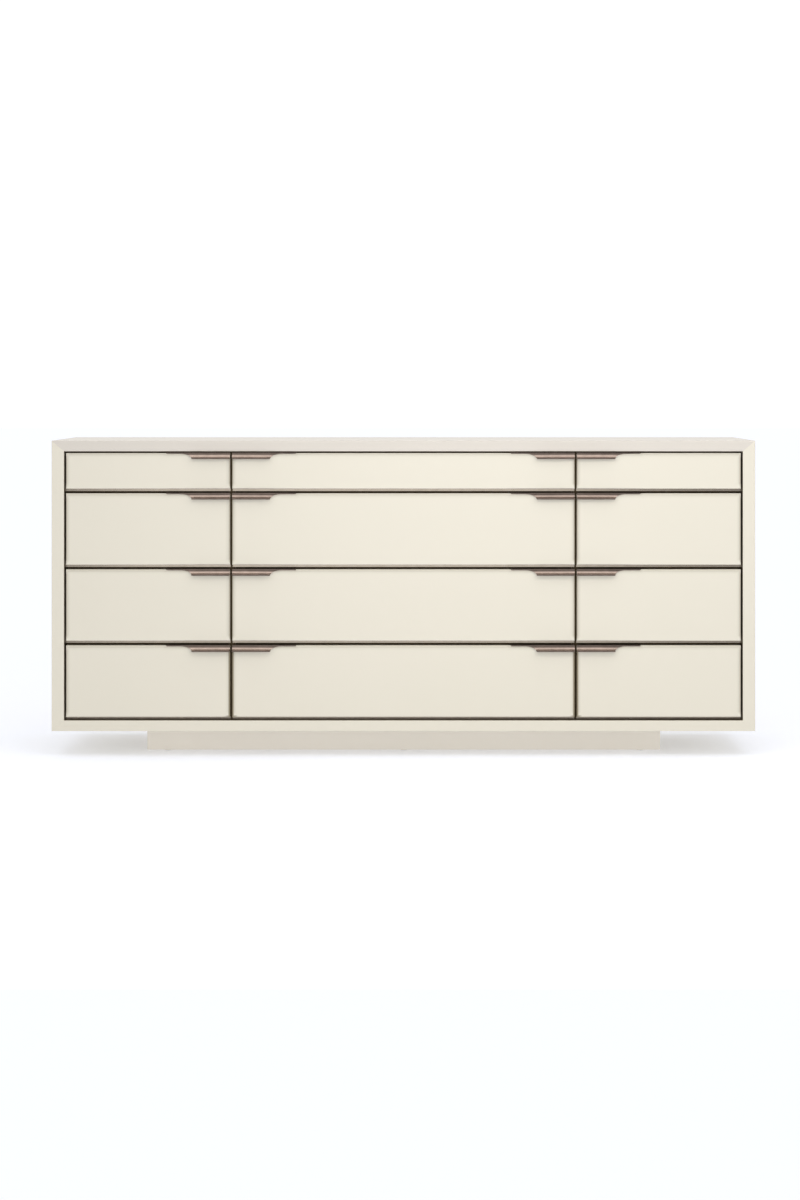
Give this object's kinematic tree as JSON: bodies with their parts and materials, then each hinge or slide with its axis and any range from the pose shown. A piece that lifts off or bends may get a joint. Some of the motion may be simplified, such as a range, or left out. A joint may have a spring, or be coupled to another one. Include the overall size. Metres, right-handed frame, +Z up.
{
  "type": "dresser",
  "caption": "Long low dresser: mitred case on a recessed plinth, a full grid of drawers on side runners, and bronze lip pulls at the drawers' top corners.",
  "frame": {"origin": "on the floor, under the middle of the whole dresser's box, pulls included", "axes": "+X to the right seen from the front, the drawer fronts face -Y, +Z up"},
  "size_m": [2.032, 0.5242, 0.915],
  "materials": {
    "lacquer": "satin ivory lacquer over hardwood and veneer",
    "carcass": "clear-coated plywood",
    "drawer_box": "clear-coated maple and plywood",
    "bronze": "satin bronze",
    "frame_bronze": "bronze-coated steel",
    "runner_steel": "zinc-plated steel",
    "glide_nylon": "moulded nylon"
  },
  "bodies": {
    "case": {"case_top": "lacquer", "case_bottom": "lacquer", "case_side_left": "lacquer", "case_side_right": "lacquer", "back_panel": "carcass", "partition_left": "carcass", "partition_right": "carcass", "face_frame": "frame_bronze", "plinth_frame": "lacquer", "levelling_glides": "glide_nylon", "case_runners": "runner_steel", "runner_screws": "runner_steel"},
    "left_drawer_1": {"left_drawer_1_front": "lacquer", "left_drawer_1_box": "drawer_box", "left_drawer_1_pull": "bronze", "left_drawer_1_runners": "runner_steel"},
    "left_drawer_2": {"left_drawer_2_front": "lacquer", "left_drawer_2_box": "drawer_box", "left_drawer_2_pull": "bronze", "left_drawer_2_runners": "runner_steel"},
    "left_drawer_3": {"left_drawer_3_front": "lacquer", "left_drawer_3_box": "drawer_box", "left_drawer_3_pull": "bronze", "left_drawer_3_runners": "runner_steel"},
    "left_drawer_4": {"left_drawer_4_front": "lacquer", "left_drawer_4_box": "drawer_box", "left_drawer_4_pull": "bronze", "left_drawer_4_runners": "runner_steel"},
    "centre_drawer_1": {"centre_drawer_1_front": "lacquer", "centre_drawer_1_box": "drawer_box", "centre_drawer_1_pull": "bronze", "centre_drawer_1_runners": "runner_steel"},
    "centre_drawer_2": {"centre_drawer_2_front": "lacquer", "centre_drawer_2_box": "drawer_box", "centre_drawer_2_pull": "bronze", "centre_drawer_2_runners": "runner_steel"},
    "centre_drawer_3": {"centre_drawer_3_front": "lacquer", "centre_drawer_3_box": "drawer_box", "centre_drawer_3_pull": "bronze", "centre_drawer_3_runners": "runner_steel"},
    "centre_drawer_4": {"centre_drawer_4_front": "lacquer", "centre_drawer_4_box": "drawer_box", "centre_drawer_4_pull": "bronze", "centre_drawer_4_runners": "runner_steel"},
    "right_drawer_1": {"right_drawer_1_front": "lacquer", "right_drawer_1_box": "drawer_box", "right_drawer_1_pull": "bronze", "right_drawer_1_runners": "runner_steel"},
    "right_drawer_2": {"right_drawer_2_front": "lacquer", "right_drawer_2_box": "drawer_box", "right_drawer_2_pull": "bronze", "right_drawer_2_runners": "runner_steel"},
    "right_drawer_3": {"right_drawer_3_front": "lacquer", "right_drawer_3_box": "drawer_box", "right_drawer_3_pull": "bronze", "right_drawer_3_runners": "runner_steel"},
    "right_drawer_4": {"right_drawer_4_front": "lacquer", "right_drawer_4_box": "drawer_box", "right_drawer_4_pull": "bronze", "right_drawer_4_runners": "runner_steel"}
  },
  "joints": [
    {"name": "left_drawer_1_slide", "type": "slide", "parent": "case", "child": "left_drawer_1", "axis": [0, -1, 0], "range_m": [0, 0.32]},
    {"name": "left_drawer_2_slide", "type": "slide", "parent": "case", "child": "left_drawer_2", "axis": [0, -1, 0], "range_m": [0, 0.32]},
    {"name": "left_drawer_3_slide", "type": "slide", "parent": "case", "child": "left_drawer_3", "axis": [0, -1, 0], "range_m": [0, 0.32]},
    {"name": "left_drawer_4_slide", "type": "slide", "parent": "case", "child": "left_drawer_4", "axis": [0, -1, 0], "range_m": [0, 0.32]},
    {"name": "centre_drawer_1_slide", "type": "slide", "parent": "case", "child": "centre_drawer_1", "axis": [0, -1, 0], "range_m": [0, 0.32]},
    {"name": "centre_drawer_2_slide", "type": "slide", "parent": "case", "child": "centre_drawer_2", "axis": [0, -1, 0], "range_m": [0, 0.32]},
    {"name": "centre_drawer_3_slide", "type": "slide", "parent": "case", "child": "centre_drawer_3", "axis": [0, -1, 0], "range_m": [0, 0.32]},
    {"name": "centre_drawer_4_slide", "type": "slide", "parent": "case", "child": "centre_drawer_4", "axis": [0, -1, 0], "range_m": [0, 0.32]},
    {"name": "right_drawer_1_slide", "type": "slide", "parent": "case", "child": "right_drawer_1", "axis": [0, -1, 0], "range_m": [0, 0.32]},
    {"name": "right_drawer_2_slide", "type": "slide", "parent": "case", "child": "right_drawer_2", "axis": [0, -1, 0], "range_m": [0, 0.32]},
    {"name": "right_drawer_3_slide", "type": "slide", "parent": "case", "child": "right_drawer_3", "axis": [0, -1, 0], "range_m": [0, 0.32]},
    {"name": "right_drawer_4_slide", "type": "slide", "parent": "case", "child": "right_drawer_4", "axis": [0, -1, 0], "range_m": [0, 0.32]}
  ]
}
